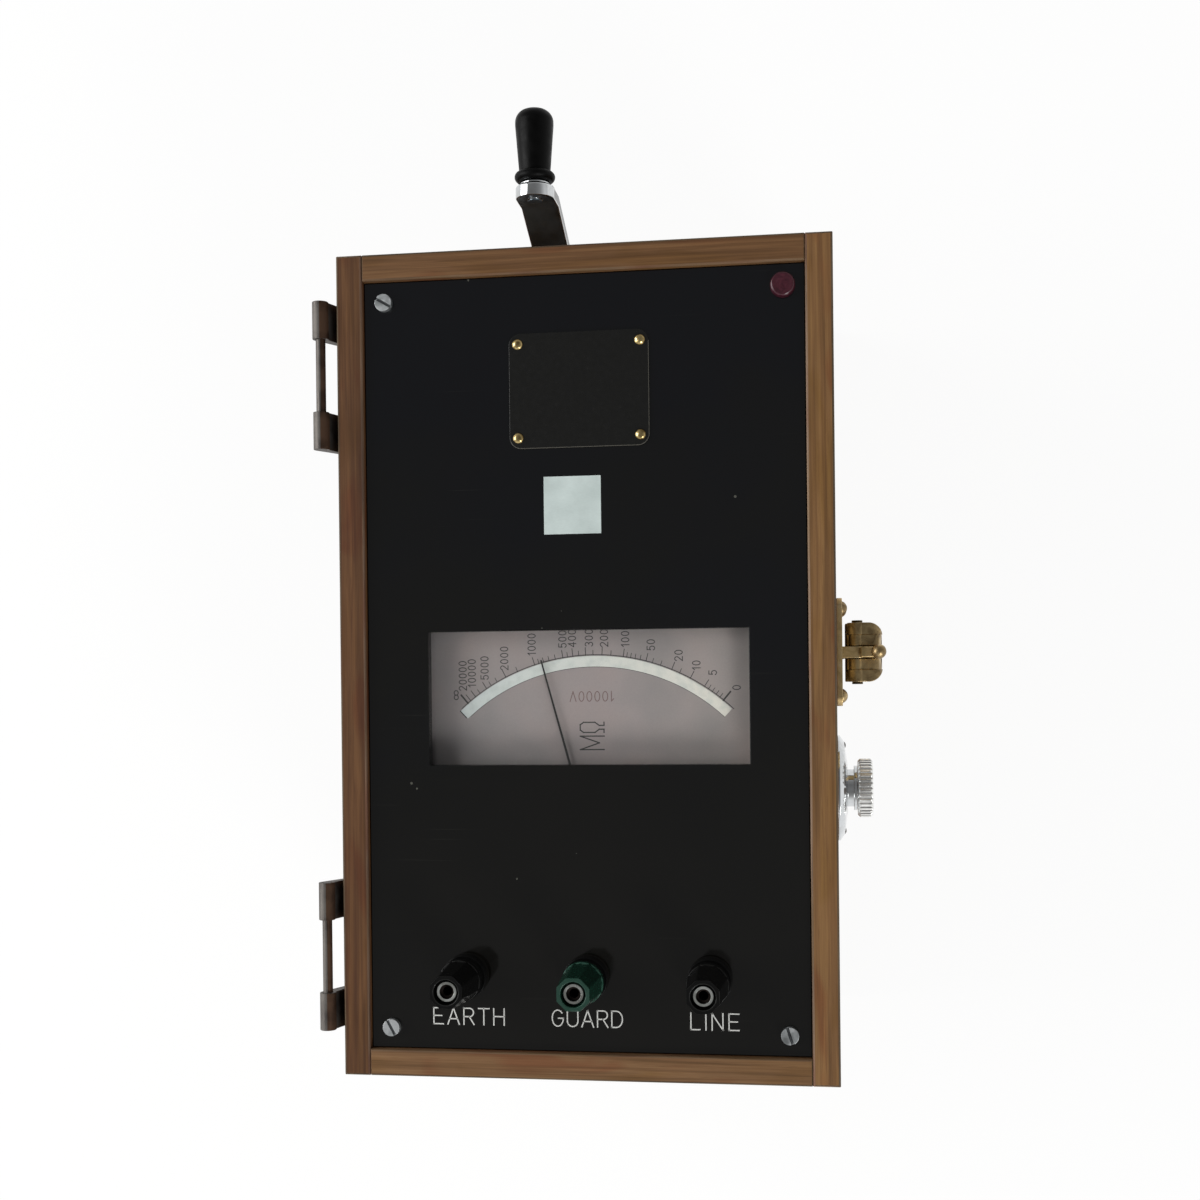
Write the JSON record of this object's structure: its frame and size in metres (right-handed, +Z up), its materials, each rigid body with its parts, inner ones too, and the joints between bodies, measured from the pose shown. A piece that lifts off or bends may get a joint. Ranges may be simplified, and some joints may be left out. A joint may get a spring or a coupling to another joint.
{
  "type": "insulation tester",
  "caption": "Hand-cranked insulation tester in a wooden case: black panel with megohm meter, screw terminals, side adjuster, latch and hinge halves for a lid, geared generator inside.",
  "frame": {"origin": "centre of the wooden case's footprint on the table", "axes": "+Z up through the panel, +Y along the case towards the crank, +X towards the latch"},
  "size_m": [0.2441, 0.4199, 0.221],
  "materials": {
    "teak": "oiled teak, open grain",
    "teak_dark": "oiled teak, darker board",
    "base_wood": "plain plywood",
    "post_wood": "bare softwood",
    "nickel": "satin nickel plate",
    "black_laminate": "black paper laminate, satin, fine scratches",
    "zinc_steel": "dull zinc plate",
    "sealing_wax": "maroon sealing wax, glossy",
    "black_plate": "black enamelled metal, satin",
    "rivet_brass": "bright brass",
    "sticker_paper": "pale matt label paper",
    "window_glass": "clear flat glass",
    "scale_paint": "matt grey scale paint",
    "scale_mirror": "silvered mirror strip",
    "brown_moulding": "brown phenolic moulding",
    "magnet_paint": "red lacquer on cast alloy",
    "soft_iron": "machined soft iron",
    "inner_brass": "turned and cut brass",
    "steel": "ground steel",
    "copper_wire": "enamelled copper winding",
    "pointer_paint": "black painted aluminium",
    "black_moulding": "black phenolic moulding",
    "green_moulding": "green thermoplastic moulding",
    "plated_brass": "nickel-plated brass",
    "chrome": "bright chrome plate",
    "grip_moulding": "black moulded grip, soft gloss",
    "magnet_alloy": "ground magnet alloy",
    "potting_resin": "cast resin",
    "aged_brass": "cast brass, aged"
  },
  "bodies": {
    "case": {"case_side_left": "teak_dark", "case_side_right": "teak", "case_end_crank": "teak", "case_end_terminals": "teak", "case_bottom": "base_wood", "corner_posts": "post_wood", "case_screws": "nickel", "front_panel": "black_laminate", "panel_screws": "zinc_steel", "wax_seal": "sealing_wax", "name_plate": "black_plate", "plate_rivets": "rivet_brass", "label_sticker": "sticker_paper", "window_glass": "window_glass", "scale_plate": "scale_paint", "scale_mirror": "scale_mirror", "meter_frame": "brown_moulding", "meter_magnet": "magnet_paint", "pole_pieces": "soft_iron", "meter_core": "soft_iron", "jewel_bearings": "inner_brass", "terminal_bases": "black_moulding", "terminal_posts": "plated_brass", "terminal_nuts": "inner_brass", "crank_bush": "nickel", "gear_plates": "steel", "plate_pillars": "steel", "shaft_bushes": "inner_brass", "stator_core": "soft_iron", "stator_coils": "copper_wire", "multiplier_block": "potting_resin", "adjuster_flange": "chrome", "adjuster_control": "black_moulding", "latch_base": "aged_brass", "latch_screws": "aged_brass", "hinge_leaves": "nickel", "hinge_pins": "nickel"},
    "grip": {"crank_grip": "grip_moulding"},
    "crank": {"crank_shaft": "steel", "crank_arm": "chrome", "crank_nut": "zinc_steel", "crank_gear": "inner_brass", "grip_spindle": "chrome"},
    "layshaft": {"lay_shaft": "steel", "lay_wheel": "inner_brass"},
    "rotor": {"rotor_shaft": "steel", "rotor_magnet": "magnet_alloy"},
    "movement": {"meter_spindle": "steel", "moving_coils": "copper_wire", "pointer": "pointer_paint"},
    "adjuster": {"adjuster_knob": "chrome"},
    "latch_lever": {"latch_lever": "aged_brass", "latch_pins": "aged_brass"},
    "latch_hook": {"latch_hook": "aged_brass"},
    "earth_collar": {"earth_collar": "plated_brass"},
    "earth_cap": {"earth_cap": "black_moulding"},
    "guard_collar": {"guard_collar": "plated_brass"},
    "guard_cap": {"guard_cap": "green_moulding"},
    "line_collar": {"line_collar": "plated_brass"},
    "line_cap": {"line_cap": "black_moulding"}
  },
  "joints": [
    {"name": "crank_turn", "type": "hinge", "parent": "case", "child": "crank", "pos_m": [-0.022, 0.17, 0.093], "axis": [0, 1, 0], "continuous": true},
    {"name": "grip_spin", "type": "hinge", "parent": "crank", "child": "grip", "pos_m": [-0.022, 0.222, 0.168], "axis": [0, 1, 0], "continuous": true},
    {"name": "layshaft_turn", "type": "hinge", "parent": "case", "child": "layshaft", "pos_m": [0.00124, 0.125, 0.13671], "axis": [0, 1, 0], "continuous": true},
    {"name": "rotor_turn", "type": "hinge", "parent": "case", "child": "rotor", "pos_m": [0.03328, 0.125, 0.11343], "axis": [0, 1, 0], "continuous": true},
    {"name": "pointer_swing", "type": "hinge", "parent": "case", "child": "movement", "pos_m": [0.003, -0.0836, 0.15], "axis": [0, 0, 1], "range_deg": [-56, 26]},
    {"name": "adjuster_turn", "type": "hinge", "parent": "case", "child": "adjuster", "pos_m": [0.1065, -0.057, 0.13], "axis": [1, 0, 0], "range_deg": [-135, 135]},
    {"name": "latch_swing", "type": "hinge", "parent": "case", "child": "latch_lever", "pos_m": [0.1153, 0.0034, 0.166], "axis": [0, -1, 0], "range_deg": [0, 105]},
    {"name": "hook_swing", "type": "hinge", "parent": "latch_lever", "child": "latch_hook", "pos_m": [0.1225, 0.0034, 0.164], "axis": [0, -1, 0], "range_deg": [-105, 0]},
    {"name": "earth_lift", "type": "slide", "parent": "case", "child": "earth_collar", "axis": [0, 0, 1], "range_m": [0, 0.003]},
    {"name": "earth_unscrew", "type": "hinge", "parent": "earth_collar", "child": "earth_cap", "pos_m": [-0.053, -0.1343, 0.205], "axis": [0, 0, 1], "range_deg": [0, 1080]},
    {"name": "guard_lift", "type": "slide", "parent": "case", "child": "guard_collar", "axis": [0, 0, 1], "range_m": [0, 0.003]},
    {"name": "guard_unscrew", "type": "hinge", "parent": "guard_collar", "child": "guard_cap", "pos_m": [-0.0004, -0.1343, 0.205], "axis": [0, 0, 1], "range_deg": [0, 1080]},
    {"name": "line_lift", "type": "slide", "parent": "case", "child": "line_collar", "axis": [0, 0, 1], "range_m": [0, 0.003]},
    {"name": "line_unscrew", "type": "hinge", "parent": "line_collar", "child": "line_cap", "pos_m": [0.0522, -0.1343, 0.205], "axis": [0, 0, 1], "range_deg": [0, 1080]}
  ],
  "couplings": [
    {"joint": "layshaft_turn", "follows": "crank_turn", "ratio": -4},
    {"joint": "rotor_turn", "follows": "crank_turn", "ratio": 12},
    {"joint": "hook_swing", "follows": "latch_swing", "ratio": -1},
    {"joint": "earth_lift", "follows": "earth_unscrew", "m_per_rad": 0.000159},
    {"joint": "guard_lift", "follows": "guard_unscrew", "m_per_rad": 0.000159},
    {"joint": "line_lift", "follows": "line_unscrew", "m_per_rad": 0.000159}
  ]
}
